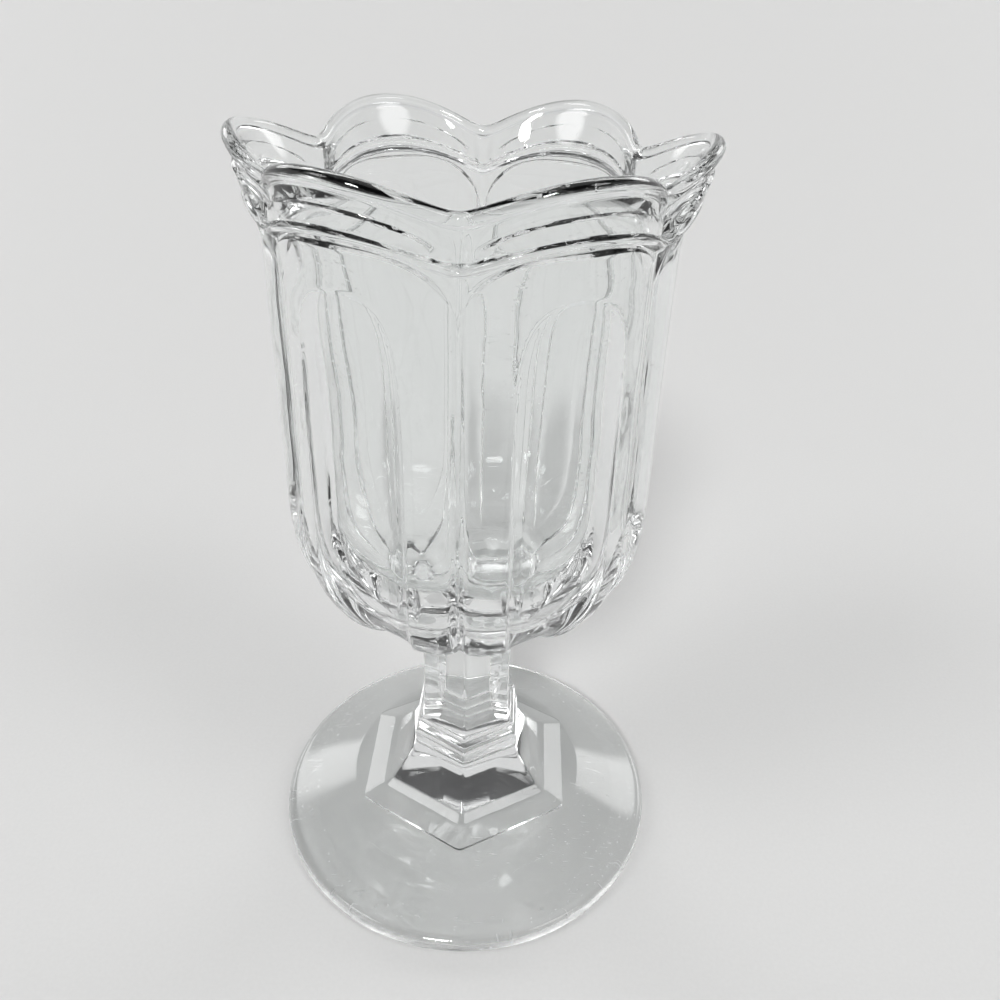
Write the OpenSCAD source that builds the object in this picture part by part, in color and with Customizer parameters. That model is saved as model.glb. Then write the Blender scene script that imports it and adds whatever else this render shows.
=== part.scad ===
// Footed celery vase of clear pressed glass: a six-lobed bowl with a scalloped rim,
// a six-sided stem, a six-sided plinth and a round foot. Millimetres, +Z up, the vase
// stands on z = 0 with its axis on Z. Scallop tips and flutes face 0, 60, 120 ... degrees;
// creases, valleys and the ridges of the stem lie half way between them.

/* [Foot] */
// Radius of the round foot
foot_r = 56; // [45:0.5:70]
// Height of the foot where the plinth stands on it
foot_h = 14; // [9:0.5:20]
// Thickness of the foot at its edge
foot_edge = 5.4; // [4:0.1:8]
// Rounding of the foot's edge
foot_round = 2.2; // [1:0.1:2.4]
// Width of the flat ring that the vase stands on
foot_ring = 2; // [2:0.5:12]
// Depth of the hollow under the foot
foot_hollow = 2.5; // [1:0.5:7]

/* [Plinth] */
// Height of the plinth
plinth_h = 16; // [12:0.5:24]
// Ridge radius of the plinth where it stands on the foot
plinth_r = 34.2; // [30:0.2:42]
// Height of the upright edge round the plinth
plinth_edge = 0.8; // [0.4:0.1:2]
// Ridge radius of the plinth's upper edge
plinth_top_r = 28; // [24:0.1:30]
// Height of the sloping side below the upper edge
plinth_side = 2.2; // [1.2:0.1:4]
// Width of the bevel along the upper edge
plinth_bevel = 2.6; // [1:0.1:3]

/* [Stem] */
// Length of the stem
stem_h = 42.5; // [32:0.5:70]
// Ridge radius of the stem at its waist
stem_r = 14; // [11:0.1:15]
// Ridge radius of the stem under the bowl, and of the bowl's neck on it
stem_top_r = 14.4; // [12:0.1:15.4]
// Ridge radius of the stem above its rings
stem_flare_r = 15.2; // [12:0.1:16]
// Ridge radius of the upper ring
upper_ring_r = 16.2; // [13:0.1:17]
// Ridge radius of the lower ring, and of the plinth below it
lower_ring_r = 17.2; // [14:0.1:20]
// Height of each ring
ring_h = 4.6; // [3:0.1:6]
// Bevel on the edges of the rings
ring_bevel = 0.7; // [0.3:0.1:1.2]

/* [Bowl] */
// Height of the bowl, up to the scallop tips
bowl_h = 127.5; // [110:0.5:180]
// Height of the cove between the neck and the underside
neck_h = 11; // [6:0.5:16]
// Radius at which the underside turns into the cove
base_r = 23; // [20:0.5:30]
// Radius of the body of the bowl
belly_r = 45.2; // [40:0.2:56]
// Radius of the body at the top of its flutes
upper_r = 44.7; // [39:0.1:56]
// Height over which the body rounds in to the underside
belly_h = 33; // [26:0.5:46]
// Fullness of that rounding, 2 for an ellipse
belly_full = 2.2; // [2:0.05:2.8]
// Thickness of the wall between the flutes
wall = 5.4; // [4.6:0.1:8]
// Thickness of glass below the inside, above the cove
floor_t = 7; // [4:0.5:12]
// Height over which the inside rounds in to its floor
hollow_h = 31; // [20:0.5:40]

/* [Lobes] */
// Depth of the creases between the lobes
crease_depth = 1.8; // [0.6:0.1:2.2]
// Width of a crease
crease_w = 14; // [6:0.5:18]
// Depth of the narrow groove along a crease
groove_depth = 0.7; // [0.2:0.1:0.8]
// Width of that groove
groove_w = 3; // [2:0.1:5]
// Width of the pillar between two flutes
pillar_w = 22; // [16:0.5:28]
// Depth of a flute
flute_depth = 3; // [1:0.1:3.4]
// Distance of a flute's upper end below the arch of its lobe
flute_gap = 8.5; // [4:0.5:24]
// Rise of the arch over a lobe
arch_rise = 15; // [8:0.5:20]
// Outward flare of a lobe above its flute
lobe_flare = 1.2; // [0:0.1:2]
// Step at the arch
arch_step = 1; // [0.4:0.1:1.6]

/* [Rim] */
// Height of the collar at a valley of the rim
collar_h = 11; // [8:0.5:16]
// Extra height of the collar at a scallop tip
collar_extra = 1.6; // [0:0.1:4]
// Height of a scallop above the valleys
scallop_rise = 6.5; // [3:0.5:10]
// Outward reach of a scallop beyond the valleys
scallop_reach = 6.9; // [3:0.1:10]
// Softness of the valleys between the scallops
valley_soft = 0.2; // [0.05:0.05:0.4]
// Outward step of the collar above the arches
collar_step = 1.6; // [0.4:0.1:2.4]
// Depth of the cove along the collar
collar_cove = 0.4; // [0.1:0.1:1]
// Thickness of the lip
lip_t = 3.2; // [2.4:0.1:4]
// Gap between an arch and the collar above it
cove_gap = 1.6; // [1:0.1:3]

/* [Hidden] */
glass = [0.86, 0.91, 0.91, 0.6];
sides = 6;
half_lobe = 180 / sides;

// Curves of the bowl, as powers: across a flute and at its upper end, the arches, the
// collar's lower edge, the flare of the collar, and the flare and the floor of the inside
flute_power = 2.6;
flute_end_length = 5;
flute_end_width = 0.35;
arch_power = 3.2;
collar_edge_power = 0.8;
collar_flare_power = 0.65;
inside_flare_power = 2.4;
inside_floor_power = 2 / 2.4;
// Curve of the plinth's cove, as a power of the height left above it
cove_power = 1.35;

// Shares of a length: where the crease is at full depth, the cove along the collar and how
// fast it fades in the valleys, the recess's two rings, the stem's lower flare and its upper
// one, the rise of the plinth's bevel, and the most of the foot's edge that its rounding takes
crease_run = 0.6;
collar_cove_share = 0.6;
collar_cove_fade = 2;
recess_low = 0.3;
recess_high = 0.8;
stem_flare_share = 1 / 3;
stem_top_share = 1 / 2;
bevel_slope = 0.65;
foot_round_share = 0.45;

// Heights, stacked from the foot
plinth_z = foot_h;
stem_z = plinth_z + plinth_h;
bowl_z = stem_z + stem_h;
top_z = bowl_z + bowl_h;
base_z = bowl_z + neck_h;
belly_z = base_z + belly_h;
valley_z = top_z - scallop_rise;

// Where the arch, the flute and the inside begin and end
valley_collar_z = valley_z - collar_h;
tip_collar_z = valley_collar_z + scallop_rise - collar_extra;
arch_z = tip_collar_z - cove_gap;
flute_top_z = arch_z - flute_gap;
hollow_z = base_z + floor_t;
hollow_r = belly_r - wall;
hollow_belly_z = hollow_z + hollow_h;

// Half the angle that a flute takes where the body's radius is r: what the pillars leave of a lobe
function flute_angle(r) = half_lobe - asin(min(sin(half_lobe), pillar_w / 2 / r));

// Half the angles that the flute, the crease and its groove take on the body
flute_half = flute_angle(belly_r);
crease_half = crease_w / 2 / belly_r * 180 / PI;
groove_half = groove_w / 2 / belly_r * 180 / PI;

// Angles of the bowl's upright lines in one half lobe: even across the flute, closer at the crease
flute_lines = 3;
pillar_shares = [0, 0.35, 0.7, 0.9];
half_lines = concat(
    [for (i = [0 : flute_lines - 1]) flute_half * i / flute_lines],
    [for (t = pillar_shares) flute_half + (half_lobe - flute_half) * t]);
lobe_lines = concat(
    [-half_lobe],
    [for (i = [len(half_lines) - 1 : -1 : 1]) -half_lines[i]],
    half_lines);

// Angle from the nearest lobe's middle, and 1 at a scallop tip to 0 at a valley
function off_lobe(a) = (a + half_lobe) % (2 * half_lobe) - half_lobe;
function scallop(a) = let (c = cos(off_lobe(a) * 90 / half_lobe))
    (norm([c, valley_soft]) - valley_soft) / (norm([1, valley_soft]) - valley_soft);

// Depth of a crease with its groove, as a share of the crease's depth
function crease(a) = let (away = half_lobe - abs(off_lobe(a)))
    pow(max(0, 1 - away / crease_half), 2)
    + groove_depth / crease_depth * max(0, 1 - away / groove_half);

// Half width of a flute at height z, where the body's radius is r, as a share of its full half width
function flute_share(r, z) = let (
        mid = (base_z + flute_top_z) / 2,
        reach = max(0, z - mid) / (flute_top_z - mid))
    reach < 1 ? flute_angle(r) / flute_half * pow(1 - pow(reach, flute_end_length), flute_end_width) : 0;

// Depth of the scooped flute at angle a, radius r and height z
function flute(a, r, z) = flute_depth
    * max(0, pow(flute_share(r, z), flute_power) - pow(abs(off_lobe(a)) / flute_half, flute_power));

// Cove from the neck to the underside, t from 0 to 1
function cove_point(t) =
    [base_r - (base_r - stem_top_r) * cos(90 * t), bowl_z + neck_h * sin(90 * t)];

// Rounded body from the underside to the belly, t from 0 to 1
function belly_point(t) = [
    base_r + (belly_r - base_r) * pow(sin(90 * t), 2 / belly_full),
    belly_z - belly_h * pow(cos(90 * t), 2 / belly_full)];

// Body of the bowl up to the belly, as radius and height
cove_steps = 5;
belly_steps = 11;
body = concat(
    [for (i = [0 : cove_steps - 1]) cove_point(i / cove_steps)],
    [for (i = [1 : belly_steps - 1]) belly_point(i / belly_steps)],
    [[belly_r, belly_z]]);

// Outward direction of the body's profile at its point i
function body_normal(i) = let (
        d = body[min(i + 1, len(body) - 1)] - body[max(i - 1, 0)])
    [d[1], -d[0]] / norm(d);

// Depth of the crease along the body: it grows from the neck to its full depth
function crease_at(z) = crease_depth * min(1, (z - bowl_z) / (belly_z - bowl_z) / crease_run);

// Radius of a six-sided outline at angle a, as a share of its ridge radius
function six_share(a) = cos(half_lobe) / cos(off_lobe(a));

// A point of the body, six-sided at the neck and round above the cove, with its crease
// and flute cut along the profile's normal
function body_cut(i, a) = let (
        neck = max(0, 1 - i / cove_steps),
        share = 1 - neck * (1 - six_share(a)),
        p = [body[i][0] * share, body[i][1]],
        cut = crease_at(p[1]) * crease(a) + flute(a, body[i][0], p[1]))
    p - cut * body_normal(i);

// Height of the arch and of the collar's lower edge at angle a
function arch_height(a) = let (share = pow(abs(off_lobe(a)) / half_lobe, arch_power))
    arch_z - arch_rise * (1 - sqrt(1 - share));
function collar_height(a) =
    valley_collar_z + (tip_collar_z - valley_collar_z) * pow(scallop(a), collar_edge_power);

// Radius of the upright body, flaring above the flutes
function upright_r(z) = let (
        t = (z - belly_z) / (flute_top_z - belly_z),
        flare = max(0, z - flute_top_z) / flute_gap)
    belly_r + (upper_r - belly_r) * min(1, t) + lobe_flare * flare * flare;

// A point of the upright body, t from 0 at the belly to 1 at the arch
function upper_body(t, a) = let (z = belly_z + (arch_height(a) - belly_z) * t)
    [upright_r(z) - crease_depth * crease(a) - flute(a, belly_r, z), z];

// Recess between the arches and the collar, t from 0 to 1
function spandrel_r(a) =
    upright_r(arch_height(a)) - arch_step - (crease_depth - arch_step) * crease(a);
function spandrel(t, a) =
    [spandrel_r(a), arch_height(a) + (collar_height(a) - arch_height(a)) * t];

// Outside of the lip, and the height of its top
function lip_r(a) = upper_r - crease_depth + collar_step + scallop_reach * scallop(a);
function lip_z(a) = valley_z + scallop_rise * scallop(a);

// A point of the flaring collar, t from 0 at its lower edge to 1 under the lip
function collar(t, a) = let (
        low = collar_height(a),
        r0 = spandrel_r(a) + collar_step,
        cove = collar_cove * sin(180 * min(1, t / collar_cove_share)) * min(1, collar_cove_fade * scallop(a)))
    [r0 + (lip_r(a) - r0) * pow(t, collar_flare_power) - cove,
     low + (lip_z(a) - lip_t / 2 - low) * t];

// A point of the rounded lip, t from 0 outside to 1 inside
function lip(t, a) = [
    lip_r(a) - lip_t / 2 * (1 - cos(180 * t)), lip_z(a) - lip_t / 2 * (1 - sin(180 * t))];

// A point of the flaring inside, t from 0 under the lip to 1 at the arches' foot
function flare(t, a) = let (
        z0 = lip_z(a) - lip_t / 2,
        z1 = arch_z - arch_rise)
    [hollow_r + (lip_r(a) - lip_t - hollow_r) * pow(1 - t, inside_flare_power),
     z0 + (z1 - z0) * t];

// A point of the round inside, t from 0 at the upright wall to 1 at the floor
function hollow(t) = [
    hollow_r * pow(cos(90 * t), inside_floor_power),
    hollow_belly_z - hollow_h * pow(sin(90 * t), inside_floor_power)];

// Skin of the bowl at angle a: one point for each ring, from the neck over the lip to the floor
flute_rows = 12;
flute_crowding = 0.75;
collar_rows = 7;
lip_rows = 4;
flare_rows = 6;
hollow_rows = 8;
function bowl_section(a) = concat(
    [for (i = [0 : len(body) - 1]) body_cut(i, a)],
    [for (i = [1 : flute_rows]) upper_body(pow(i / flute_rows, flute_crowding), a)],
    [spandrel(recess_low, a), spandrel(recess_high, a)],
    [for (i = [0 : collar_rows - 1]) collar(i / collar_rows, a)],
    [for (i = [0 : lip_rows]) lip(i / lip_rows, a)],
    [for (i = [1 : flare_rows]) flare(i / flare_rows, a)],
    [for (i = [0 : hollow_rows - 1]) hollow(i / hollow_rows)]);

// A closed skin over rings of points, from one pole to another
module skin(first_pole, rings, last_pole) {
    n = len(rings[0]);
    m = len(rings);
    points = concat([for (ring = rings, p = ring) p], [first_pole, last_pole]);
    faces = concat(
        [for (j = [0 : n - 1]) [m * n, j, (j + 1) % n]],
        [for (i = [0 : m - 2], j = [0 : n - 1], half = [0, 1])
            let (a = i * n + j, b = i * n + (j + 1) % n)
            half == 0 ? [a, a + n, b] : [b, a + n, b + n]],
        [for (j = [0 : n - 1]) [(m - 1) * n + j, m * n + 1, (m - 1) * n + (j + 1) % n]]);
    polyhedron(points, faces, convexity = 8);
}

// A six-sided solid over a list of ridge radii and heights, with its ridges between the lobes
module six_sided(profile) {
    m = len(profile);
    points = [for (p = profile, k = [0 : sides - 1])
        let (a = half_lobe * (2 * k + 1)) [p[0] * cos(a), p[0] * sin(a), p[1]]];
    faces = concat(
        [[for (k = [0 : sides - 1]) k]],
        [[for (k = [sides - 1 : -1 : 0]) (m - 1) * sides + k]],
        [for (i = [0 : m - 2], k = [0 : sides - 1])
            let (a = i * sides + k, b = i * sides + (k + 1) % sides)
            [a, a + sides, b + sides, b]]);
    polyhedron(points, faces, convexity = 4);
}

module bowl() {
    angles = [for (k = [0 : sides - 1], line = lobe_lines) 2 * half_lobe * k + line];
    sections = [for (a = angles) bowl_section(a)];
    rings = [for (i = [0 : len(sections[0]) - 1])
        [for (j = [0 : len(angles) - 1])
            let (p = sections[j][i]) [p[0] * cos(angles[j]), p[0] * sin(angles[j]), p[1]]]];
    color(glass) skin([0, 0, bowl_z], rings, [0, 0, hollow_z]);
}

// One ring of the stem, bevelled above and below
function ring_profile(r, z) = [
    [r - ring_bevel, z], [r, z + ring_bevel],
    [r, z + ring_h - ring_bevel], [r - ring_bevel, z + ring_h]];

module stem() {
    shaft_z = stem_z + 2 * ring_h;
    shaft_steps = 12;
    shaft = [for (i = [0 : shaft_steps])
        let (t = i / shaft_steps,
             low = pow(max(0, 1 - t / stem_flare_share), 2),
             high = pow(max(0, 1 - (1 - t) / stem_top_share), 2))
        [stem_r + (stem_flare_r - stem_r) * low + (stem_top_r - stem_r) * high,
         shaft_z + (bowl_z - shaft_z) * t]];
    color(glass) six_sided(concat(
        ring_profile(lower_ring_r, stem_z),
        ring_profile(upper_ring_r, stem_z + ring_h),
        shaft));
}

module plinth() {
    side_z = plinth_z + plinth_edge;
    top_edge_z = side_z + plinth_side;
    bevel_z = top_edge_z + plinth_bevel * bevel_slope;
    bevel_r = plinth_top_r - plinth_bevel;
    plinth_steps = 8;
    cove = [for (i = [0 : plinth_steps])
        let (t = i / plinth_steps)
        [lower_ring_r + (bevel_r - lower_ring_r) * pow(1 - t, cove_power),
         bevel_z + (stem_z - bevel_z) * t]];
    color(glass) six_sided(concat(
        [[plinth_r, plinth_z], [plinth_r, side_z], [plinth_top_r, top_edge_z]], cove));
}

module foot() {
    edge_round = min(foot_round, foot_round_share * foot_edge);
    ring_r = foot_r - edge_round;
    hollow_edge = ring_r - foot_ring;
    round_steps = 6;
    lower_round = [for (i = [0 : round_steps])
        let (t = 90 * i / round_steps)
        [ring_r + edge_round * sin(t), edge_round * (1 - cos(t))]];
    upper_round = [for (i = [0 : round_steps])
        let (t = 90 * i / round_steps)
        [ring_r + edge_round * cos(t), foot_edge - edge_round * (1 - sin(t))]];
    dome_steps = 8;
    dome = [for (i = [0 : dome_steps])
        let (t = i / dome_steps) [hollow_edge * t, foot_hollow * (1 - t * t)]];
    color(glass) rotate_extrude($fn = 96)
        polygon(concat(dome, lower_round, upper_round, [[plinth_r, foot_h], [0, foot_h]]));
}

bowl();
stem();
plinth();
foot();
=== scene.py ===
"""Footed celery vase of clear pressed glass, dressed and lit on a pale studio floor."""

import logging
import math
from dataclasses import dataclass
from enum import Enum

import bpy
import numpy as np
from mathutils import Matrix, Vector


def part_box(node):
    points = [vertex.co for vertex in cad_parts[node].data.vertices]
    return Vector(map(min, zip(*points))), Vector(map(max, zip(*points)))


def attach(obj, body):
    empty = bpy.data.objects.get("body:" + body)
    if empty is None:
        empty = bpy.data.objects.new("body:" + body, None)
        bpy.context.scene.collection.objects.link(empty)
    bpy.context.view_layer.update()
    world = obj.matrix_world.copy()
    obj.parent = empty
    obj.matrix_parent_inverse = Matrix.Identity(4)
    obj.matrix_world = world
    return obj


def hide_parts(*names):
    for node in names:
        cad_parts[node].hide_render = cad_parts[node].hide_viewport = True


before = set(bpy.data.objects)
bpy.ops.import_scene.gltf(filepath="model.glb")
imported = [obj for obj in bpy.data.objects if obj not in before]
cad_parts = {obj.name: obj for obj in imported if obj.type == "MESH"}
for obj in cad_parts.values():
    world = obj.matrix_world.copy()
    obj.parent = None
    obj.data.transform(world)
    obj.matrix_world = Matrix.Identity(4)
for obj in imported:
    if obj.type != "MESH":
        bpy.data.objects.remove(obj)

LOG = logging.getLogger("celery_vase")
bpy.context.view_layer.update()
MM = 0.001
BODY = "root"
QUARTER_TURN = 0.5 * np.pi

Tree = bpy.types.NodeTree
Socket = bpy.types.NodeSocket
Colour = tuple[float, float, float, float]
Rows = tuple[np.ndarray, np.ndarray]


class Section(Enum):
    """Sections of the vase, each named as the CAD node that it stands for."""

    BOWL = "bowl"
    STEM = "stem"
    PLINTH = "plinth"
    FOOT = "foot"


class Face(Enum):
    """Kinds of face on a section: open glass, or the face where it is fused to the next section."""

    OPEN = 0
    FUSED = 1


def node_heights(section: Section) -> tuple[float, float]:
    """Lowest and highest point of a CAD node, in millimetres.

    Args:
        section: the section whose node is measured.

    Returns:
        The two heights.
    """
    low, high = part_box(section.value)
    return low[2] / MM, high[2] / MM


def steps(count: int, first: float = 0.0, last: float = 1.0) -> np.ndarray:
    """Even steps from first to last as a column, one row of a surface each.

    Args:
        count: how many rows.
        first: value of the first row.
        last: value of the last row.

    Returns:
        An array of shape (count, 1).
    """
    return np.linspace(first, last, count)[:, None]


def soft_part(values: np.ndarray, softness: float) -> np.ndarray:
    """Positive part of values with a rounded corner: half of (v + sqrt(v * v + s * s)).

    Args:
        values: signed depths.
        softness: size of the rounding at zero.

    Returns:
        The rounded positive part.
    """
    return 0.5 * (values + np.sqrt(values * values + softness * softness))


def ease(values: np.ndarray) -> np.ndarray:
    """Smooth step from 0 to 1: 3 v v - 2 v v v, held at its ends."""
    held = np.clip(values, 0.0, 1.0)
    return held * held * (3.0 - 2.0 * held)


@dataclass(frozen=True)
class LobeGrid:
    """Upright lines that all sections share, closest at the flutes' edges and at the ridges.

    Offsets are in degrees from the middle of the nearest lobe: 0 in a flute and on a flat of the
    stem, plus or minus half a lobe in a crease and on a ridge.
    """

    lobes: int = 6
    flute_edge: float = 15.9
    flute_lines: int = 14
    pillar_lines: int = 18
    ridge_power: float = 60.0

    @property
    def half(self) -> float:
        """Half the angle of a lobe."""
        return 180.0 / self.lobes

    def lobe_offsets(self) -> np.ndarray:
        """Offsets over one lobe.

        Across a flute they follow a sine, which crowds them at its edge; across a pillar they
        follow half a cosine, which crowds them at the flute's edge and at the crease.

        Returns:
            The offsets from minus half a lobe up to, but without, plus half a lobe.
        """
        flute = self.flute_edge * np.sin(0.5 * np.pi * np.arange(self.flute_lines) / self.flute_lines)
        share = 0.5 - 0.5 * np.cos(np.pi * np.arange(self.pillar_lines) / self.pillar_lines)
        pillar = self.flute_edge + (self.half - self.flute_edge) * share
        right = np.concatenate([flute, pillar])
        return np.concatenate([[-self.half], -right[:0:-1], right])

    def offsets(self) -> np.ndarray:
        """Offsets of all lines round the vase, as one row."""
        return np.tile(self.lobe_offsets(), self.lobes)[None, :]

    def bent_offsets(self, width: np.ndarray) -> np.ndarray:
        """Offsets of lines that follow the flutes' edges where the flutes narrow.

        Lines in a flute shrink in proportion to its half width; those on a pillar spread evenly
        between the flute's edge and the crease.

        Args:
            width: half width of a flute in degrees, one for each row.

        Returns:
            Offsets of shape (rows, lines).
        """
        away = np.abs(self.offsets())
        inner = width * away / self.flute_edge
        outer = width + (self.half - width) * (away - self.flute_edge) / (self.half - self.flute_edge)
        return np.sign(self.offsets()) * np.where(away <= self.flute_edge, inner, outer)

    def angles(self, offsets: np.ndarray | None = None) -> np.ndarray:
        """Angles of all lines round the vase in radians, at their own offsets or at given ones."""
        turns = np.repeat(np.arange(self.lobes) * 2.0 * self.half, self.lobe_offsets().size)
        return np.radians(turns + (self.offsets() if offsets is None else offsets))

    def six_share(self, offsets: np.ndarray | None = None) -> np.ndarray:
        """Radius of a six-sided outline with rounded ridges, as a share of its sharp ridge radius.

        The reach of a flat and of its two neighbours, the cosine of the angle from its middle, is
        raised to a high power; the root of their sum divides the cosine of half a lobe.

        Args:
            offsets: offsets of the lines, or none for their own ones.

        Returns:
            One share for each line.
        """
        away = np.radians(self.offsets() if offsets is None else offsets)
        turn = math.radians(2.0 * self.half)
        reach = sum(np.maximum(np.cos(away + side), 0.0) ** self.ridge_power for side in (-turn, 0.0, turn))
        return math.cos(math.radians(self.half)) / reach ** (1.0 / self.ridge_power)

    def rings(self, radius: np.ndarray, height: np.ndarray, offsets: np.ndarray | None = None) -> np.ndarray:
        """Points of a surface from its radius and height on every line.

        Args:
            radius: radii in millimetres, of shape (rows, lines) or (rows, 1).
            height: heights in millimetres, of the same kind.
            offsets: offsets of the lines, or none for their own ones.

        Returns:
            Points in metres, of shape (rows, lines, 3).
        """
        angle = self.angles(offsets)
        shape = np.broadcast_shapes(radius.shape, height.shape, angle.shape)
        turned = [radius * np.cos(angle), radius * np.sin(angle), height]
        return MM * np.stack([np.broadcast_to(part, shape) for part in turned], axis=-1)


@dataclass
class Skin:
    """A closed skin of rings between two poles on the axis.

    Each band between two rings, and each fan to a pole, is open glass unless its index is listed
    as fused: band 0 is the first fan, band i lies above ring i - 1, and the last band is the last fan.
    """

    name: str
    rings: np.ndarray
    fused: tuple[int, ...] = ()
    sharp_angle: float = 38.0

    def faces(self) -> tuple[list[list[int]], np.ndarray]:
        """Faces of the skin with outward normals, and the band that each one is in.

        Returns:
            The vertex numbers of each face, and an array of band numbers.
        """
        count, lines = self.rings.shape[:2]
        number = np.arange(count * lines).reshape(count, lines)
        after = np.roll(number, -1, axis=1)
        first = np.stack([np.full(lines, count * lines), after[0], number[0]], axis=-1)
        last = np.stack([number[-1], after[-1], np.full(lines, count * lines + 1)], axis=-1)
        quads = np.stack([number[:-1], after[:-1], after[1:], number[1:]], axis=-1).reshape(-1, 4)
        band = np.repeat(np.arange(count + 1), lines)
        return first.tolist() + quads.tolist() + last.tolist(), band

    def mesh(self) -> bpy.types.Mesh:
        """Mesh of the skin, smooth apart from its sharp edges, with fused bands in the second slot."""
        poles = np.stack([self.rings[0].mean(axis=0), self.rings[-1].mean(axis=0)])
        points = np.concatenate([self.rings.reshape(-1, 3), poles])
        faces, band = self.faces()
        mesh = bpy.data.meshes.new(self.name)
        mesh.from_pydata(points.tolist(), [], faces)
        kind = np.where(np.isin(band, self.fused), Face.FUSED.value, Face.OPEN.value)
        mesh.polygons.foreach_set("material_index", kind.astype(np.int32))
        mesh.polygons.foreach_set("use_smooth", np.ones(band.size, dtype=bool))
        mesh.set_sharp_from_angle(angle=math.radians(self.sharp_angle))
        mesh.update()
        return mesh


def socket(tree: Tree, name: str, way: str, kind: str) -> None:
    """Adds a named socket to a node group.

    Args:
        tree: the group.
        name: the socket's name.
        way: INPUT or OUTPUT.
        kind: Float, Vector or Color.
    """
    tree.interface.new_socket(name=name, in_out=way, socket_type=f"NodeSocket{kind}")


def add_node(tree: Tree, kind: str, **settings: object) -> bpy.types.Node:
    """Adds a node and sets its properties.

    Args:
        tree: the tree that takes the node.
        kind: Blender's name of the node's type.
        settings: properties of the node.

    Returns:
        The new node.
    """
    node = tree.nodes.new(kind)
    for key, value in settings.items():
        setattr(node, key, value)
    return node


def feed(tree: Tree, node: bpy.types.Node, **inputs: object) -> None:
    """Sets or links inputs of a node, by name with underscores for spaces, or by i and a number.

    Args:
        tree: the tree that holds the node.
        node: the node whose inputs are fed.
        inputs: an output socket to link from, or a plain value.
    """
    for key, value in inputs.items():
        index = int(key[1:]) if key[0] == "i" and key[1:].isdigit() else key.replace("_", " ")
        if isinstance(value, Socket):
            tree.links.new(value, node.inputs[index])
        else:
            node.inputs[index].default_value = value


def maths(tree: Tree, operation: str, *values: object) -> Socket:
    """Adds a Math node.

    Args:
        tree: the tree that takes the node.
        operation: the operation.
        values: numbers or output sockets, one for each input.

    Returns:
        The node's output.
    """
    node = add_node(tree, "ShaderNodeMath", operation=operation)
    feed(tree, node, **{f"i{i}": value for i, value in enumerate(values)})
    return node.outputs[0]


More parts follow.
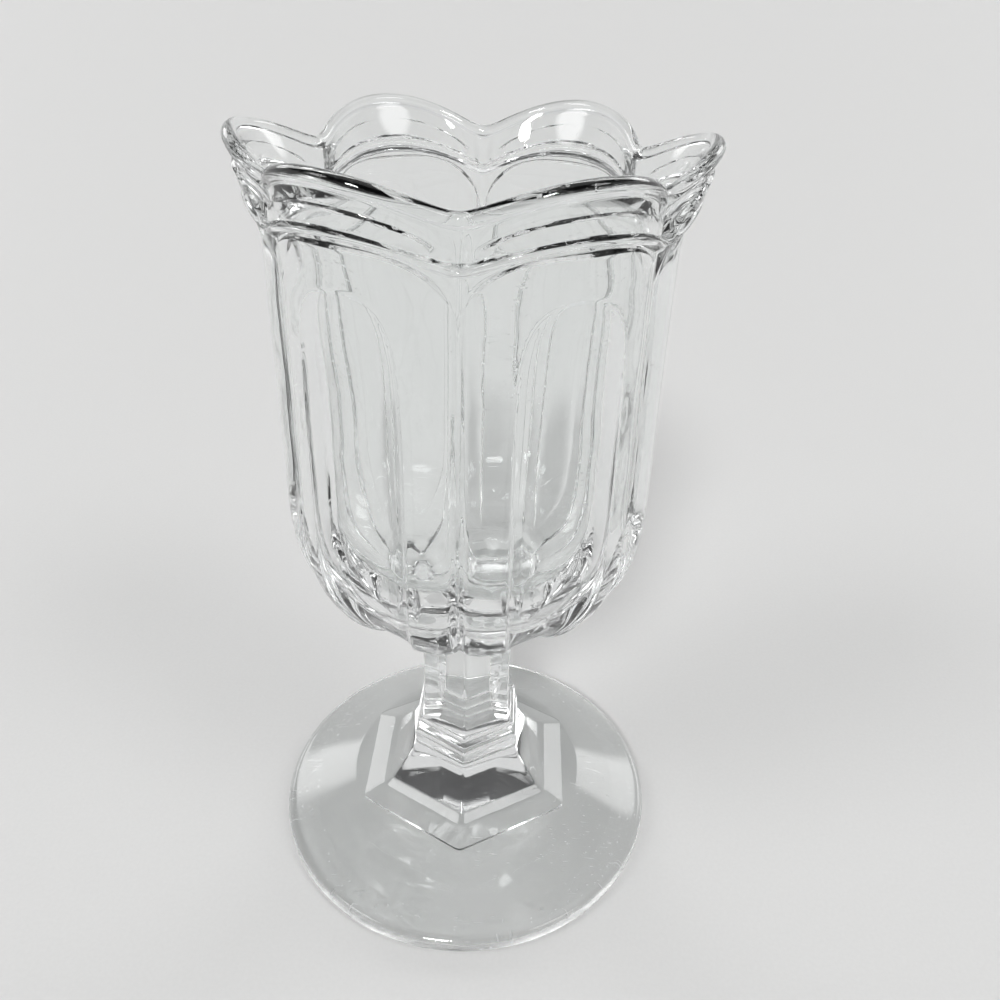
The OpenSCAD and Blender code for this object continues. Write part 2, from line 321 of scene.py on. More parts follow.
@dataclass(frozen=True)
class GlassSurface:
    """Shared node group for what the years and the mould left on the glass.

    Height: slow waves of the mould and fine ripples, less the scratches. Roughness: a polished
    base, more in smears, scratches and on the worn ring under the foot. Tint: a slow drift between
    clear and faintly grey-green glass. Scales are in waves to a metre, heights in shares of a wave.
    """

    name: str = "Glass surface"
    wave_scale: float = 55.0
    ripple_scale: float = 420.0
    ripple_height: float = 0.04
    smear_scale: float = 90.0
    smear_power: float = 4.0
    scratch_scale: float = 130.0
    scratch_stretch: float = 12.0
    scratch_turns: tuple[tuple[float, float, float], ...] = ((0.4, 0.6, 0.18), (1.1, -0.9, -0.27))
    scratch_crest: tuple[float, float] = (0.72, 0.75)
    scratch_depth: float = 0.12
    patch_scale: float = 40.0
    patch_edge: tuple[float, float] = (0.45, 0.62)
    worn_scale: float = 700.0
    worn_roughness: float = 0.4
    greyer: Colour = (0.94, 0.955, 0.95, 1.0)
    clearer: Colour = (0.97, 0.98, 0.977, 1.0)

    def group(self) -> Tree:
        """The group, built on its first use."""
        return bpy.data.node_groups.get(self.name) or self.build()

    def build(self) -> Tree:
        """Builds the group's sockets and nodes.

        Returns:
            The new group.
        """
        tree = bpy.data.node_groups.new(self.name, "ShaderNodeTree")
        socket(tree, "Vector", "INPUT", "Vector")
        for name in ("Wave", "Ripple", "Smear", "Scratch", "Worn height"):
            socket(tree, name, "INPUT", "Float")
        socket(tree, "Tint", "OUTPUT", "Color")
        socket(tree, "Roughness", "OUTPUT", "Float")
        socket(tree, "Height", "OUTPUT", "Float")
        given = add_node(tree, "NodeGroupInput").outputs
        result = add_node(tree, "NodeGroupOutput")
        waves = self.noise(tree, given["Vector"], self.wave_scale, 1.0)
        ripple = self.noise(tree, given["Vector"], self.ripple_scale, 2.0)
        scratch = self.scratches(tree, given["Vector"])
        worn = self.worn(tree, given["Vector"], given["Worn height"])
        ripple_height = maths(tree, "MULTIPLY", given["Ripple"], self.ripple_height)
        scratch_depth = maths(tree, "MULTIPLY", given["Scratch"], -self.scratch_depth)
        height = maths(tree, "MULTIPLY", waves, given["Wave"])
        height = maths(tree, "MULTIPLY_ADD", ripple, ripple_height, height)
        height = maths(tree, "MULTIPLY_ADD", scratch, scratch_depth, height)
        smear = self.noise(tree, given["Vector"], self.smear_scale, 4.0)
        smear = maths(tree, "POWER", smear, self.smear_power)
        rough = maths(tree, "MULTIPLY", smear, given["Smear"])
        rough = maths(tree, "MULTIPLY_ADD", scratch, given["Scratch"], rough)
        rough = maths(tree, "MULTIPLY_ADD", worn, self.worn_roughness, rough)
        tint = add_node(tree, "ShaderNodeMix", data_type="RGBA")
        feed(tree, tint, i0=waves, i6=self.greyer, i7=self.clearer)
        feed(tree, result, Tint=tint.outputs[2], Roughness=rough, Height=height)
        return tree

    def noise(self, tree: Tree, vector: Socket, scale: float, detail: float) -> Socket:
        """Noise in space.

        Args:
            tree: the tree that takes the node.
            vector: coordinates in metres.
            scale: waves to a metre.
            detail: octaves.

        Returns:
            The noise's value, from 0 to 1.
        """
        node = add_node(tree, "ShaderNodeTexNoise")
        feed(tree, node, Vector=vector, Scale=scale, Detail=detail)
        return node.outputs[0]

    def scratches(self, tree: Tree, vector: Socket) -> Socket:
        """Mask of fine scratches that cross in two directions.

        Each set is noise stretched along one turned axis, kept only in its narrow crests and
        broken up by a coarser noise.

        Args:
            tree: the tree that takes the nodes.
            vector: coordinates in metres.

        Returns:
            The mask, 1 in a scratch.
        """
        masks = []
        thin = self.scratch_stretch
        for turn in self.scratch_turns:
            place = add_node(tree, "ShaderNodeMapping")
            feed(tree, place, Vector=vector, Rotation=turn, Scale=(1.0, thin, thin))
            line = self.noise(tree, place.outputs[0], self.scratch_scale, 1.0)
            masks.append(self.between(tree, line, self.scratch_crest))
        both = maths(tree, "MAXIMUM", *masks)
        patch = self.between(tree, self.noise(tree, vector, self.patch_scale, 2.0), self.patch_edge)
        return maths(tree, "MULTIPLY", both, patch)

    def between(self, tree: Tree, value: Socket, ends: tuple[float, float]) -> Socket:
        """Share of the way that a value has gone between two ends, held at 0 and 1.

        Args:
            tree: the tree that takes the node.
            value: the value.
            ends: the values at which the share is 0 and 1.

        Returns:
            The share.
        """
        node = add_node(tree, "ShaderNodeMapRange")
        feed(tree, node, Value=value, From_Min=ends[0], From_Max=ends[1])
        return node.outputs[0]

    def worn(self, tree: Tree, vector: Socket, height: Socket) -> Socket:
        """Mask of the worn glass below a height, broken up by noise.

        Args:
            tree: the tree that takes the nodes.
            vector: coordinates in metres.
            height: height in metres below which the glass is rubbed; 0 for none.

        Returns:
            The mask, 1 where the glass is rubbed most.
        """
        parts = add_node(tree, "ShaderNodeSeparateXYZ")
        feed(tree, parts, Vector=vector)
        below = maths(tree, "LESS_THAN", parts.outputs["Z"], height)
        return maths(tree, "MULTIPLY", below, self.noise(tree, vector, self.worn_scale, 3.0))


@dataclass(frozen=True)
class GlassFinish:
    """Clear pressed glass: its optics, its marks and how clear its shadow is; heights in metres."""

    name: str
    ior: float = 1.52
    wave: float = 1.0
    ripple: float = 1.0
    smear: float = 0.03
    scratch: float = 0.25
    worn_height: float = 0.0
    relief: float = 0.0004
    clear_shadow: float = 0.0

    def material(self) -> bpy.types.Material:
        """Builds the glass material.

        Returns:
            A material with one Principled shader, fed by the shared group.
        """
        made = bpy.data.materials.new(self.name)
        made.use_nodes = True
        tree = made.node_tree
        shader = tree.nodes["Principled BSDF"]
        place = add_node(tree, "ShaderNodeTexCoord")
        marks = add_node(tree, "ShaderNodeGroup", node_tree=GlassSurface().group())
        feed(tree, marks, Vector=place.outputs["Object"], Wave=self.wave, Ripple=self.ripple)
        feed(tree, marks, Smear=self.smear, Scratch=self.scratch, Worn_height=self.worn_height)
        bump = add_node(tree, "ShaderNodeBump")
        feed(tree, bump, Strength=1.0, Distance=self.relief, Height=marks.outputs["Height"])
        feed(tree, shader, Base_Color=marks.outputs["Tint"], Roughness=marks.outputs["Roughness"])
        feed(tree, shader, Normal=bump.outputs[0], IOR=self.ior, Metallic=0.0, Transmission_Weight=1.0)
        if self.clear_shadow:
            path = add_node(tree, "ShaderNodeLightPath")
            solid = maths(tree, "MULTIPLY_ADD", path.outputs["Is Shadow Ray"], -self.clear_shadow, 1.0)
            feed(tree, shader, Alpha=solid)
        return made


@dataclass(frozen=True)
class FusedFinish:
    """Face where two sections are fused into one body of glass, so that it can't be seen."""

    name: str = "fused_joint"

    def material(self) -> bpy.types.Material:
        """The joint's material, built on its first use."""
        made = bpy.data.materials.get(self.name)
        if made is None:
            made = bpy.data.materials.new(self.name)
            made.use_nodes = True
            feed(made.node_tree, made.node_tree.nodes["Principled BSDF"], Alpha=0.0, Roughness=0.0)
        return made


def place_section(section: Section, skin: Skin, finish: GlassFinish) -> bpy.types.Object:
    """Makes a section's object, dresses it and lets it stand for its CAD node.

    Args:
        section: the section.
        skin: its surface.
        finish: its glass.

    Returns:
        The new object.
    """
    piece = bpy.data.objects.new(skin.name, skin.mesh())
    bpy.context.scene.collection.objects.link(piece)
    piece.data.materials.append(finish.material())
    piece.data.materials.append(FusedFinish().material())
    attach(piece, BODY)
    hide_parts(section.value)
    LOG.info("%s: %d faces", skin.name, len(piece.data.polygons))
    return piece


@dataclass(frozen=True)
class BowlRows:
    """How many rows each part of the bowl's skin has; the upright body's also with where they run."""

    cove: int = 16
    belly: int = 34
    upright: tuple[tuple[int, float, float], ...] = ((26, 0.0, 0.62), (46, 0.62, 0.9), (12, 0.9, 1.0))
    arch: int = 8
    recess: int = 5
    collar: int = 44
    lip: int = 15
    inside_flare: int = 18
    wall: int = 10
    floor: int = 22


@dataclass(frozen=True)
class CollarRelief:
    """Low relief on the collar: a bead, a sunk field, a panel in it and a band in each valley.

    Depths are in millimetres, half widths round the vase in degrees, and the rest in shares of the
    collar's height.
    """

    bead: float = 0.5
    bead_at: float = 0.09
    bead_half: float = 0.1
    field_depth: float = 0.9
    field_low: float = 0.17
    field_low_run: float = 0.06
    field_high: float = 0.96
    field_high_run: float = 0.13
    panel_half: float = 25.5
    panel_at: float = 0.41
    panel_droop: float = 0.06
    panel_half_h: float = 0.185
    panel_ends: int = 6
    panel_sides: int = 3
    panel_run: float = 0.35
    band_half: float = 2.0
    band_reach: float = 1.2
    band_run: float = 0.4
    band_depth: float = 0.7
    band_low_run: float = 0.25
    band_high_run: float = 0.5

    def raised(self, offsets: np.ndarray, share: np.ndarray, half_lobe: float) -> np.ndarray:
        """How far the relief stands out.

        The bead is a parabola. The field is sunk apart from the panel, whose outline is a sum of
        powers, and the band is sunk further in each valley. All their sides are eased.

        Args:
            offsets: offsets of the lines in degrees from the middle of a lobe.
            share: shares of the collar's height.
            half_lobe: half the angle of a lobe in degrees.

        Returns:
            The relief's height, which is less than 0 where it is sunk.
        """
        bead = self.bead * np.maximum(1.0 - ((share - self.bead_at) / self.bead_half) ** 2, 0.0)
        along = np.abs(offsets) / self.panel_half
        off_panel = share - self.panel_at + self.panel_droop * along * along
        outline = along ** self.panel_ends + np.abs(off_panel / self.panel_half_h) ** self.panel_sides
        field_low = ease((share - self.field_low) / self.field_low_run)
        field_high = ease((self.field_high - share) / self.field_high_run)
        field = self.field_depth * field_low * field_high
        sunk = field * (1.0 - ease((1.0 - outline) / self.panel_run))
        in_valley = (half_lobe - np.abs(offsets)) / self.band_half
        band_ends = ease(share / self.band_low_run) * ease((1.0 - share) / self.band_high_run)
        band = self.band_depth * ease((self.band_reach - in_valley) / self.band_run) * band_ends
        return bead - sunk - band


@dataclass
class Bowl:
    """Six-lobed bowl with scooped flutes, arches, a flaring collar and a scalloped lip.

    Sizes are in millimetres, and offsets in degrees from the middle of a lobe. The plunger's waves
    are given by their turns round the vase, their length along it and their phase.
    """

    grid: LobeGrid
    rows: BowlRows = BowlRows()
    relief: CollarRelief = CollarRelief()
    neck_r: float = 14.4
    neck_h: float = 11.0
    base_r: float = 23.0
    belly_r: float = 45.2
    upper_r: float = 44.7
    belly_h: float = 33.0
    belly_full: float = 2.2
    wall: float = 5.4
    floor_t: float = 7.0
    hollow_h: float = 31.0
    crease_depth: float = 1.8
    crease_run: float = 0.6
    crease_half: float = 8.9
    crease_flat: float = 0.6
    groove_half: float = 1.4
    groove_depth: float = 0.7
    groove_soft: float = 0.15
    pillar_w: float = 22.0
    flute_depth: float = 3.0
    flute_power: float = 2.6
    flute_rim: float = 0.6
    flute_soft: float = 0.015
    flute_least: float = 1.5
    flute_end_length: int = 5
    flute_end_width: float = 0.9
    flute_gap: float = 8.5
    arch_rise: float = 15.0
    arch_power: float = 3.2
    lobe_flare: float = 1.2
    arch_step: float = 1.0
    collar_h: float = 11.0
    collar_extra: float = 1.6
    scallop_rise: float = 6.5
    scallop_reach: float = 6.9
    valley_soft: float = 0.2
    collar_step: float = 1.6
    collar_edge_power: float = 0.8
    collar_flare_power: float = 0.65
    collar_row_power: float = 1.05
    lip_t: float = 3.2
    cove_gap: float = 1.6
    edge_round: float = 0.8
    edge_share: float = 0.3
    inside_flare_power: float = 2.4
    inside_full: float = 2.4
    wave_depth: float = 0.07
    wave_fade: float = 20.0
    wave_floor: float = 0.5
    wave_floor_run: float = 0.4
    plunger_waves: tuple[tuple[float, float, float], ...] = (
        (5.0, 5.0, 0.0), (8.0, -7.0, 1.3), (3.0, 3.6, 0.6))

    def __post_init__(self) -> None:
        """Takes the bowl's ends from its CAD node and stacks its heights between them."""
        self.low_z, self.top_z = node_heights(Section.BOWL)
        self.base_z = self.low_z + self.neck_h
        self.belly_z = self.base_z + self.belly_h
        self.valley_z = self.top_z - self.scallop_rise
        self.valley_collar_z = self.valley_z - self.collar_h
        self.tip_collar_z = self.valley_collar_z + self.scallop_rise - self.collar_extra
        self.arch_z = self.tip_collar_z - self.cove_gap
        self.flute_top_z = self.arch_z - self.flute_gap
        self.hollow_z = self.base_z + self.floor_t
        self.hollow_r = self.belly_r - self.wall
        self.hollow_belly_z = self.hollow_z + self.hollow_h
        self.off = self.grid.offsets()
        self.scallop = self.scallop_share()
        self.crease = self.crease_share(self.off)
        self.arch = self.arch_height()
        self.collar_low = self.collar_height()
        valley = (self.crease_depth - self.arch_step) * self.crease
        self.recess_r = self.upright_r(self.arch) - self.arch_step - valley
        self.lip_r = self.upper_r - self.crease_depth + self.collar_step + self.scallop_reach * self.scallop
        self.lip_z = self.valley_z + self.scallop_rise * self.scallop
        self.edge = np.minimum(self.edge_round, self.edge_share * (self.collar_low - self.arch))

    def scallop_share(self) -> np.ndarray:
        """1 at a scallop's tip and 0 in a valley: a cosine of one lobe, with its corner rounded."""
        wave = np.cos(np.radians(self.off * 90.0 / self.grid.half))
        soft = self.valley_soft
        return (np.sqrt(wave * wave + soft * soft) - soft) / (math.sqrt(1.0 + soft * soft) - soft)

    def crease_share(self, offsets: np.ndarray) -> np.ndarray:
        """Depth of a crease as a share of the valley's: a valley whose sides are squares, and a
        narrow groove with straight sides and a narrow flat along its bottom.

        Args:
            offsets: offsets of the lines.

        Returns:
            The share on each line.
        """
        away = np.maximum(self.grid.half - np.abs(offsets) - self.crease_flat, 0.0)
        valley = np.maximum(1.0 - away / (self.crease_half - self.crease_flat), 0.0) ** 2
        groove = soft_part(1.0 - away / self.groove_half, self.groove_soft)
        return valley + self.groove_depth / self.crease_depth * groove

    def flute_half(self, radius: np.ndarray) -> np.ndarray:
        """Half width of a flute in degrees: what the pillars, as wide everywhere, leave of a lobe.

        Args:
            radius: radii of the body.

        Returns:
            The half width at each radius, never quite nothing.
        """
        widest = math.sin(math.radians(self.grid.half))
        pillar = np.degrees(np.arcsin(np.minimum(0.5 * self.pillar_w / radius, widest)))
        return np.maximum(self.grid.half - pillar, self.flute_least)

    def arch_height(self) -> np.ndarray:
        """Height of the arch over a lobe: a quarter of a superellipse that falls to the crease."""
        share = (np.abs(self.off) / self.grid.half) ** self.arch_power
        return self.arch_z - self.arch_rise * (1.0 - np.sqrt(np.maximum(1.0 - share, 0.0)))

    def collar_height(self) -> np.ndarray:
        """Height of the collar's lower edge, which follows the scallops."""
        rise = self.tip_collar_z - self.valley_collar_z
        return self.valley_collar_z + rise * self.scallop ** self.collar_edge_power

    def flute(self, height: np.ndarray, offsets: np.ndarray, width: np.ndarray) -> np.ndarray:
        """Depth of the scooped flutes.

        A flute's depth is a power of the distance from its middle, and shrinks as its width does;
        its top closes as a superellipse. A root of it steepens the rim, which is rounded a little.

        Args:
            height: heights of the points.
            offsets: offsets of the points.
            width: half width of the flute at each row, in degrees.

        Returns:
            The depth at each point.
        """
        middle = 0.5 * (self.base_z + self.flute_top_z)
        run = np.maximum(height - middle, 0.0) / (self.flute_top_z - middle)
        left = 1.0 - run ** self.flute_end_length
        close = np.sign(left) * np.abs(left) ** self.flute_end_width
        power = self.flute_power
        full = (width / self.grid.flute_edge) ** power
        across = full * close - (np.abs(offsets) / self.grid.flute_edge) ** power
        return self.flute_depth * soft_part(across, self.flute_soft) ** self.flute_rim

    def crease_at(self, height: np.ndarray) -> np.ndarray:
        """Depth of the creases along the rounded body: it grows from the neck to the full depth.

        Args:
            height: heights of the points.

        Returns:
            The depth at each point.
        """
        share = np.clip((height - self.low_z) / (self.belly_z - self.low_z), 0.0, 1.0)
        return self.crease_depth * np.minimum(1.0, share / self.crease_run)

    def upright_r(self, height: np.ndarray) -> np.ndarray:
        """Radius of the upright body: a straight taper that flares out above the flutes.

        Args:
            height: heights of the points.

        Returns:
            The radius at each point.
        """
        share = np.minimum((height - self.belly_z) / (self.flute_top_z - self.belly_z), 1.0)
        flare = np.maximum(height - self.flute_top_z, 0.0) / self.flute_gap
        return self.belly_r + (self.upper_r - self.belly_r) * share + self.lobe_flare * flare * flare

    def lower_body(self) -> tuple[np.ndarray, np.ndarray, np.ndarray]:
        """Neck, cove and rounded body up to the belly.

        The cove is a quarter of an ellipse, the body a quarter of a superellipse; the neck's
        six-sided outline fades out over the cove, and creases and flutes are cut along the normal.

        Returns:
            Radius, height and offset of each point.
        """
        turn = steps(self.rows.cove)[:-1] * QUARTER_TURN
        bend = steps(self.rows.belly) * QUARTER_TURN
        power = 2.0 / self.belly_full
        radius = np.concatenate([
            self.base_r - (self.base_r - self.neck_r) * np.cos(turn),
            self.base_r + (self.belly_r - self.base_r) * np.sin(bend) ** power])
        height = np.concatenate([
            self.low_z + self.neck_h * np.sin(turn),
            self.belly_z - self.belly_h * np.maximum(np.cos(bend), 0.0) ** power])
        along = np.gradient(np.hstack([radius, height]), axis=0)
        along /= np.linalg.norm(along, axis=1, keepdims=True)
        neck = np.maximum(1.0 - np.arange(radius.size)[:, None] / turn.size, 0.0)
        width = self.flute_half(radius)
        offsets = self.grid.bent_offsets(width)
        radius = radius * (1.0 - neck * (1.0 - self.grid.six_share(offsets)))
        cut = self.crease_at(height) * self.crease_share(offsets) + self.flute(height, offsets, width)
        return radius - cut * along[:, 1:], height + cut * along[:, :1], offsets

    def upright(self) -> Rows:
        """Upright body from above the belly to the arch's edge, with rows closest at the flutes' tops."""
        share = np.concatenate([steps(*run)[1:] for run in self.rows.upright])
        height = self.belly_z + (self.arch - self.edge - self.belly_z) * share
        cut = self.flute(height, self.off, np.full((1, 1), self.grid.flute_edge))
        return self.upright_r(height) - self.crease_depth * self.crease - cut, height

    def arch_edge(self) -> Rows:
        """Rounded step from the arch's edge into the recess above it, and the recess itself."""
        share = steps(self.rows.arch)[1:]
        lobe_r = self.upright_r(self.arch) - self.crease_depth * self.crease
        radius = lobe_r + (self.recess_r - lobe_r) * ease(share)
        height = self.arch + self.edge * (2.0 * share - 1.0)
        rise = self.collar_low - self.arch - 2.0 * self.edge
        above = self.arch + self.edge + rise * steps(self.rows.recess)[1:-1]
        return np.concatenate([radius, self.recess_r + 0.0 * above]), np.concatenate([height, above])

    def collar(self) -> Rows:
        """Flaring collar from its rounded lower step to the lip.

        The radius is the recess, plus an eased step, plus a flare that grows as a power of the
        height, plus the low relief.

        Returns:
            Radius and height of each point.
        """
        span = self.lip_z - 0.5 * self.lip_t - self.collar_low
        first = -self.edge / span
        share = first + (1.0 - first) * steps(self.rows.collar)[:-1] ** self.collar_row_power
        step = self.collar_step * ease((share * span / self.edge + 1.0) / 2.0)
        reach = self.lip_r - self.recess_r - self.collar_step
        flare = reach * np.maximum(share, 0.0) ** self.collar_flare_power
        relief = self.relief.raised(self.off, share, self.grid.half)
        return self.recess_r + step + flare + relief, self.collar_low + span * share

    def lip(self) -> Rows:
        """Rounded lip: half a circle from the outside over to the inside."""
        turn = steps(self.rows.lip) * np.pi
        radius = self.lip_r - 0.5 * self.lip_t * (1.0 - np.cos(turn))
        return radius, self.lip_z - 0.5 * self.lip_t * (1.0 - np.sin(turn))

    def inside(self) -> Rows:
        """Inside of the bowl: a flare below the lip, an upright wall and a rounded floor.

        The flare falls as a power to the wall, the floor is a quarter of a superellipse, and slow
        sine waves of the plunger's mark run over both.

        Returns:
            Radius and height of each point.
        """
        fall = steps(self.rows.inside_flare)[1:]
        foot_z = self.arch_z - self.arch_rise
        lip_low = self.lip_z - 0.5 * self.lip_t
        reach = self.lip_r - self.lip_t - self.hollow_r
        flare_r = self.hollow_r + reach * (1.0 - fall) ** self.inside_flare_power
        flare_z = lip_low + (foot_z - lip_low) * fall
        wall_z = steps(self.rows.wall, foot_z, self.hollow_belly_z)[1:-1] + 0.0 * self.off
        bend = steps(self.rows.floor)[:-1] * QUARTER_TURN
        power = 2.0 / self.inside_full
        floor_r = self.hollow_r * np.cos(bend) ** power + 0.0 * self.off
        floor_z = self.hollow_belly_z - self.hollow_h * np.sin(bend) ** power + 0.0 * self.off
        radius = np.concatenate([flare_r, self.hollow_r + 0.0 * wall_z, floor_r])
        height = np.concatenate([flare_z, wall_z, floor_z])
        return radius + self.waves(radius, height), height

    def waves(self, radius: np.ndarray, height: np.ndarray) -> np.ndarray:
        """Slow waves inside: crossing sines, fading out under the lip and at the floor.

        Args:
            radius: radii of the points.
            height: heights of the points.

        Returns:
            The change of radius at each point.
        """
        angle = self.grid.angles()
        wave = sum(
            np.sin(turns * angle + height / length + phase)
            for turns, length, phase in self.plunger_waves)
        at_floor = (radius / self.hollow_r - self.wave_floor) / self.wave_floor_run
        fade = ease((self.valley_z - height) / self.wave_fade) * ease(at_floor)
        return self.wave_depth * wave * fade

    def build(self) -> Skin:
        """Skin of the bowl from the neck over the lip to the floor."""
        low_r, low_z, bent = self.lower_body()
        parts = [self.upright(), self.arch_edge(), self.collar(), self.lip(), self.inside()]
        radius = np.concatenate([low_r] + [part[0] for part in parts])
        height = np.concatenate([low_z] + [np.broadcast_to(part[1], part[0].shape) for part in parts])
        straight = np.repeat(self.off, radius.shape[0] - bent.shape[0], axis=0)
        rings = self.grid.rings(radius, height, np.concatenate([bent, straight]))
        return Skin("glass_bowl", rings, fused=(0,))

    def dress(self) -> bpy.types.Object:
        """Places the bowl in fire-polished glass."""
        return place_section(Section.BOWL, self.build(), GlassFinish("bowl_glass", ripple=0.25))


@dataclass
class Stem:
    """Six-sided stem with a waist and two rounded rings at its foot; sizes in millimetres."""

    grid: LobeGrid
    waist_r: float = 14.0
    top_r: float = 14.4
    flare_r: float = 15.2
    upper_ring_r: float = 16.2
    lower_ring_r: float = 17.2
    ring_h: float = 4.6
    ring_bevel: float = 0.7
    ring_power: int = 6
    ring_rows: int = 17
    shaft_rows: int = 40

    def ring(self, radius: float, low: float) -> Rows:
        """One ring: a band whose edges round away as a high power of the distance from its middle.

        Args:
            radius: ridge radius of the ring.
            low: height of its lower edge.

        Returns:
            Radius and height of each row.
        """
        across = steps(self.ring_rows, -1.0, 1.0)
        return radius - self.ring_bevel * across ** self.ring_power, low + 0.5 * self.ring_h * (1.0 + across)

    def build(self) -> Skin:
        """Skin of the stem: two rings, then a shaft that flares as squares at both ends."""
        low, high = node_heights(Section.STEM)
        shaft_z = low + 2.0 * self.ring_h
        share = steps(self.shaft_rows)
        flare = np.maximum(1.0 - 3.0 * share, 0.0) ** 2
        top = np.maximum(2.0 * share - 1.0, 0.0) ** 2
        shaft_r = self.waist_r + (self.flare_r - self.waist_r) * flare + (self.top_r - self.waist_r) * top
        rows = [
            self.ring(self.lower_ring_r, low),
            self.ring(self.upper_ring_r, low + self.ring_h),
            (shaft_r, shaft_z + (high - shaft_z) * share)]
        radius = np.concatenate([row[0] for row in rows]) * self.grid.six_share()
        height = np.concatenate([row[1] for row in rows])
        return Skin("glass_stem", self.grid.rings(radius, height), fused=(0, radius.shape[0]))

    def dress(self) -> bpy.types.Object:
        """Places the stem in crisp moulded glass."""
        finish = GlassFinish("stem_glass", wave=0.6, ripple=0.4, scratch=0.2)
        return place_section(Section.STEM, self.build(), finish)


@dataclass
class Plinth:
    """Six-sided plinth with an upright edge, a sloping side, a bevel and a cove; sizes in millimetres."""

    grid: LobeGrid
    low_r: float = 34.2
    edge_h: float = 0.8
    upper_r: float = 28.0
    side_h: float = 2.2
    bevel: float = 2.6
    bevel_slope: float = 0.65
    cove_top_r: float = 17.2
    cove_power: float = 1.35
    joint_r: float = 16.5
    edge_rows: int = 3
    side_rows: int = 8
    bevel_rows: int = 7
    cove_rows: int = 30
    sharp_angle: float = 20.0

    def build(self) -> Skin:
        """Skin of the plinth: straight edge, side and bevel, then a cove up to the stem.

        The cove's radius falls to that of the stem's ring by a power of the height left above it.

        Returns:
            The skin, with the faces at both joints fused.
        """
        low, high = node_heights(Section.PLINTH)
        side_z = low + self.edge_h
        top_edge_z = side_z + self.side_h
        bevel_z = top_edge_z + self.bevel_slope * self.bevel
        cove_r = self.upper_r - self.bevel
        share = steps(self.cove_rows)
        radius = np.concatenate([
            np.full((self.edge_rows, 1), self.low_r),
            steps(self.side_rows, self.low_r, self.upper_r)[1:],
            steps(self.bevel_rows, self.upper_r, cove_r)[1:-1],
            self.cove_top_r + (cove_r - self.cove_top_r) * (1.0 - share) ** self.cove_power,
            [[self.joint_r]]])
        height = np.concatenate([
            steps(self.edge_rows, low, side_z),
            steps(self.side_rows, side_z, top_edge_z)[1:],
            steps(self.bevel_rows, top_edge_z, bevel_z)[1:-1],
            steps(self.cove_rows, bevel_z, high),
            [[high]]])
        rings = self.grid.rings(radius * self.grid.six_share(), height)
        return Skin("glass_plinth", rings, fused=(0, radius.shape[0]), sharp_angle=self.sharp_angle)

    def dress(self) -> bpy.types.Object:
        """Places the plinth in crisp moulded glass."""
        finish = GlassFinish("plinth_glass", wave=0.6, ripple=0.5, scratch=0.25, clear_shadow=0.2)
        return place_section(Section.PLINTH, self.build(), finish)


@dataclass
class Foot:
    """Round foot: a cone with a rounded edge, a standing ring and a shallow hollow; sizes in millimetres."""

    grid: LobeGrid
    radius: float = 56.0
    edge_h: float = 5.4
    round_r: float = 2.2
    ring_w: float = 2.0
    hollow: float = 2.5
    plinth_r: float = 34.2
    round_rows: int = 12
    hollow_rows: int = 22
    ring_rows: int = 4
    cone_rows: int = 26

    def build(self) -> Skin:
        """Skin of the foot from its hollow over the edge to the joint under the plinth.

        The hollow is a parabola, both edges are quarter circles, and the top is a straight cone;
        the last ring follows the plinth's six-sided outline.

        Returns:
            The skin, with the joint's faces fused.
        """
        low, high = node_heights(Section.FOOT)
        flat_r = self.radius - self.round_r
        turn = steps(self.round_rows) * QUARTER_TURN
        dome = steps(self.hollow_rows)[1:]
        standing = steps(self.ring_rows, flat_r - self.ring_w, flat_r)[1:-1]
        radius = np.concatenate([
            (flat_r - self.ring_w) * dome,
            standing,
            flat_r + self.round_r * np.sin(turn),
            flat_r + self.round_r * np.cos(turn),
            steps(self.cone_rows, flat_r, self.plinth_r)[1:]])
        height = low + np.concatenate([
            self.hollow * (1.0 - dome * dome),
            0.0 * standing,
            self.round_r * (1.0 - np.cos(turn)),
            self.edge_h - self.round_r * (1.0 - np.sin(turn)),
            steps(self.cone_rows, self.edge_h, high - low)[1:]])
        joint = self.plinth_r * self.grid.six_share()
        lines = joint.shape[1]
        radius = np.concatenate([np.repeat(radius, lines, axis=1), joint])
        height = np.concatenate([height, [[high]]])
        return Skin("glass_foot", self.grid.rings(radius, height), fused=(radius.shape[0],))

    def dress(self) -> bpy.types.Object:
        """Places the foot in glass that is worn where it stands."""
        finish = GlassFinish(
            "foot_glass", wave=0.5, ripple=0.3, scratch=0.4, worn_height=0.0006, clear_shadow=0.4)
        return place_section(Section.FOOT, self.build(), finish)


@dataclass(frozen=True)
class SoftLamp:
    """Round soft lamp in the world's light: its direction, its strength, and how far its edge reaches.

    The reach is given as the cosines of the angles at which it begins to glow and glows fully.
    """

    toward: tuple[float, float, float]
    strength: float
    begins: float = 0.975
    full: float = 0.992

    def glow(self, tree: Tree, direction: Socket) -> Socket:
        """Adds the lamp's nodes.

        Args:
            tree: the world's tree.
            direction: the direction that is looked in.

        Returns:
            The lamp's light in that direction.
        """
        lamp = add_node(tree, "ShaderNodeVectorMath", operation="DOT_PRODUCT")
        feed(tree, lamp, i0=direction, i1=self.toward)
        edge = add_node(tree, "ShaderNodeMapRange", interpolation_type="SMOOTHSTEP")
        feed(tree, edge, Value=lamp.outputs["Value"])
        feed(tree, edge, From_Min=self.begins, From_Max=self.full, To_Max=self.strength)
        return edge.outputs[0]


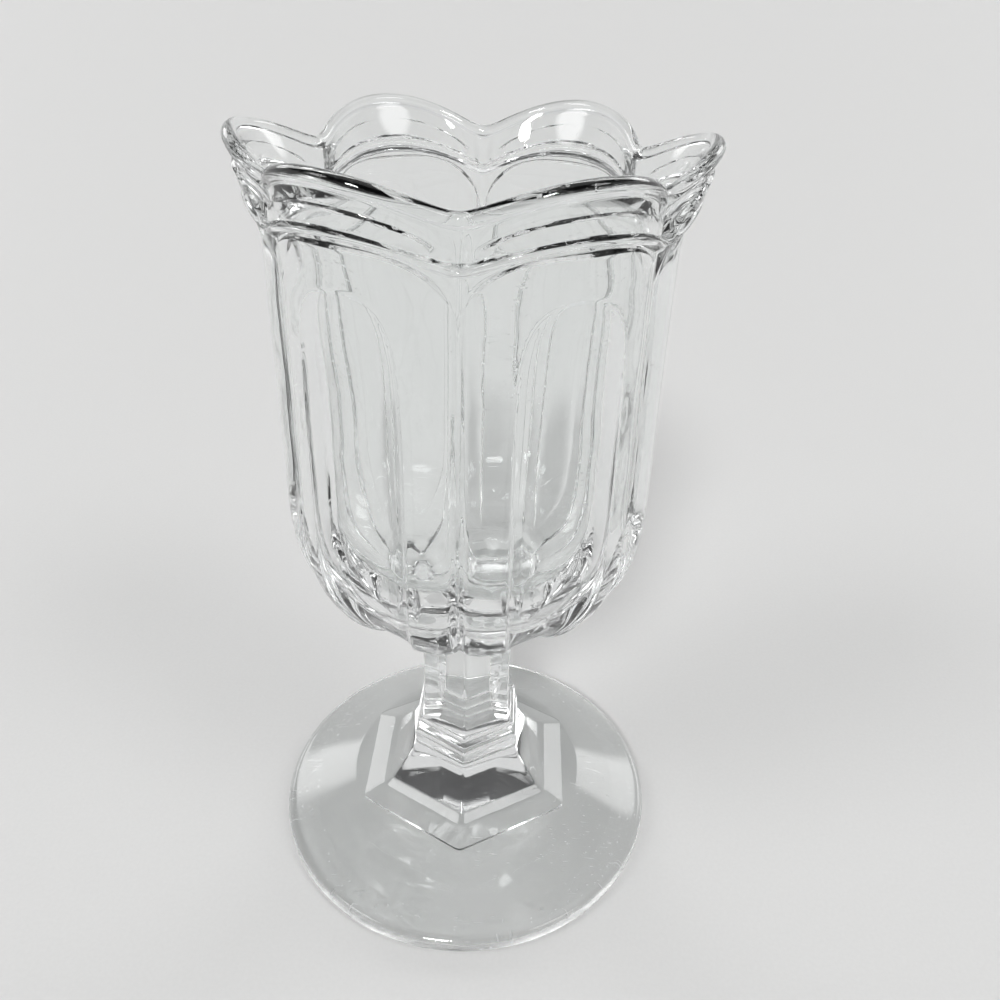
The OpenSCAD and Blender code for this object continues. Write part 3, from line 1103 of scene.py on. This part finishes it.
@dataclass
class Studio:
    """Pale floor, soft light and the camera; places in metres, angles in radians.

    The sky's colours are given at heights of the direction that is looked in, from 0 to 1.
    """

    floor_r: float = 9.0
    floor_gap: float = 0.0001
    floor_rings: int = 24
    floor_lines: int = 96
    floor_first: float = 0.02
    floor_grain: float = 900.0
    floor_roughness: float = 0.7
    floor_darker: Colour = (0.63, 0.63, 0.625, 1.0)
    floor_paler: Colour = (0.67, 0.67, 0.665, 1.0)
    sky: tuple[tuple[float, Colour], ...] = (
        (0.0, (0.71, 0.71, 0.715, 1.0)),
        (0.46, (0.71, 0.71, 0.71, 1.0)),
        (0.56, (0.06, 0.06, 0.06, 1.0)),
        (1.0, (0.06, 0.06, 0.065, 1.0)))
    camera_at: tuple[float, float, float] = (0.0113, -0.19356, 0.2308)
    pitch: float = 0.5567
    yaw: float = -0.0181
    roll: float = -0.0318
    lens: float = 31.823
    sensor: float = 36.0
    nearest: float = 0.01
    bounces: int = 24
    glossy_bounces: int = 8
    clear_bounces: int = 16
    key_from: tuple[float, float, float] = (-0.22, -1.06, 0.85)
    key_angle: float = 0.232
    key_strength: float = 1.8
    lamps: tuple[SoftLamp, ...] = (
        SoftLamp((0.0, 0.1, 0.995), 0.8, begins=0.86, full=0.95),
        SoftLamp((-0.636, -0.328, 0.699), 6.0),
        SoftLamp((0.57, -0.354, 0.742), 5.0),
        SoftLamp((-0.64, 0.63, 0.44), 3.5),
        SoftLamp((0.64, 0.63, 0.44), 3.5))

    def floor(self) -> bpy.types.Object:
        """Pale floor: a disc of rings that widen as a cube, with a faint grain."""
        angle = np.linspace(0.0, 2.0 * np.pi, self.floor_lines + 1)[None, :-1]
        radius = self.floor_r * steps(self.floor_rings, self.floor_first) ** 3
        height = np.full(radius.shape, -self.floor_gap)
        rings = np.stack(np.broadcast_arrays(radius * np.cos(angle), radius * np.sin(angle), height), axis=-1)
        count, lines = rings.shape[:2]
        number = np.arange(count * lines).reshape(count, lines)
        after = np.roll(number, -1, axis=1)
        quads = np.stack([number[:-1], number[1:], after[1:], after[:-1]], axis=-1).reshape(-1, 4)
        mesh = bpy.data.meshes.new("pale_floor")
        mesh.from_pydata(rings.reshape(-1, 3).tolist(), [], quads.tolist() + [number[0].tolist()])
        floor = bpy.data.objects.new("pale_floor", mesh)
        bpy.context.scene.collection.objects.link(floor)
        made = bpy.data.materials.new("pale_floor")
        made.use_nodes = True
        tree = made.node_tree
        place = add_node(tree, "ShaderNodeTexCoord")
        grain = add_node(tree, "ShaderNodeTexNoise")
        feed(tree, grain, Vector=place.outputs["Object"], Scale=self.floor_grain, Detail=2.0)
        tone = add_node(tree, "ShaderNodeMix", data_type="RGBA")
        feed(tree, tone, i0=grain.outputs[0], i6=self.floor_darker, i7=self.floor_paler)
        feed(tree, tree.nodes["Principled BSDF"], Base_Color=tone.outputs[2], Roughness=self.floor_roughness)
        mesh.materials.append(made)
        return floor

    def light(self) -> None:
        """Light from the world, pale low down and dim above, round soft lamps, and a key light in front."""
        world = bpy.data.worlds.new("studio")
        bpy.context.scene.world = world
        world.use_nodes = True
        tree = world.node_tree
        place = add_node(tree, "ShaderNodeTexCoord")
        parts = add_node(tree, "ShaderNodeSeparateXYZ")
        feed(tree, parts, Vector=place.outputs["Generated"])
        sky = add_node(tree, "ShaderNodeValToRGB")
        ramp = sky.color_ramp
        for element, (position, colour) in zip(ramp.elements, (self.sky[0], self.sky[-1])):
            element.position = position
            element.color = colour
        for position, colour in self.sky[1:-1]:
            ramp.elements.new(position).color = colour
        feed(tree, sky, Fac=parts.outputs["Z"])
        total = sky.outputs[0]
        for lamp in self.lamps:
            added = add_node(tree, "ShaderNodeVectorMath", operation="ADD")
            feed(tree, added, i0=total, i1=lamp.glow(tree, place.outputs["Generated"]))
            total = added.outputs[0]
        feed(tree, tree.nodes["Background"], Color=total, Strength=1.0)
        key = bpy.data.lights.new("key", "SUN")
        key.angle = self.key_angle
        key.energy = self.key_strength
        piece = bpy.data.objects.new("key", key)
        piece.rotation_euler = Vector(self.key_from).to_track_quat("Z", "Y").to_euler()
        bpy.context.scene.collection.objects.link(piece)

    def camera(self) -> bpy.types.Object:
        """Camera at the photograph's place, turned by yaw, pitch and roll."""
        ahead = np.array([
            math.sin(self.yaw) * math.cos(self.pitch),
            math.cos(self.yaw) * math.cos(self.pitch),
            -math.sin(self.pitch)])
        level = np.array([math.cos(self.yaw), -math.sin(self.yaw), 0.0])
        down = np.cross(ahead, level)
        right = math.cos(self.roll) * level + math.sin(self.roll) * down
        below = math.cos(self.roll) * down - math.sin(self.roll) * level
        data = bpy.data.cameras.new("camera")
        data.sensor_fit = "HORIZONTAL"
        data.sensor_width = self.sensor
        data.lens = self.lens
        data.clip_start = self.nearest
        camera = bpy.data.objects.new("camera", data)
        turned = np.eye(4)
        turned[:3, :3] = np.stack([right, -below, -ahead], axis=1)
        turned[:3, 3] = self.camera_at
        camera.matrix_world = Matrix(turned.tolist())
        bpy.context.scene.collection.objects.link(camera)
        bpy.context.scene.camera = camera
        return camera

    def settings(self) -> None:
        """Plain view colours, and enough bounces for light to cross all the walls."""
        scene = bpy.context.scene
        scene.view_settings.view_transform = "Standard"
        scene.cycles.max_bounces = self.bounces
        scene.cycles.transmission_bounces = self.bounces
        scene.cycles.glossy_bounces = self.glossy_bounces
        scene.cycles.transparent_max_bounces = self.clear_bounces


def main() -> None:
    """Builds the studio and the vase's sections in order."""
    logging.basicConfig(level=logging.INFO)
    studio = Studio()
    studio.settings()
    studio.camera()
    studio.floor()
    studio.light()
    grid = LobeGrid()
    for section in (Foot(grid), Plinth(grid), Stem(grid), Bowl(grid)):
        LOG.info("placed %s", section.dress().name)


if __name__ == "__main__":
    main()
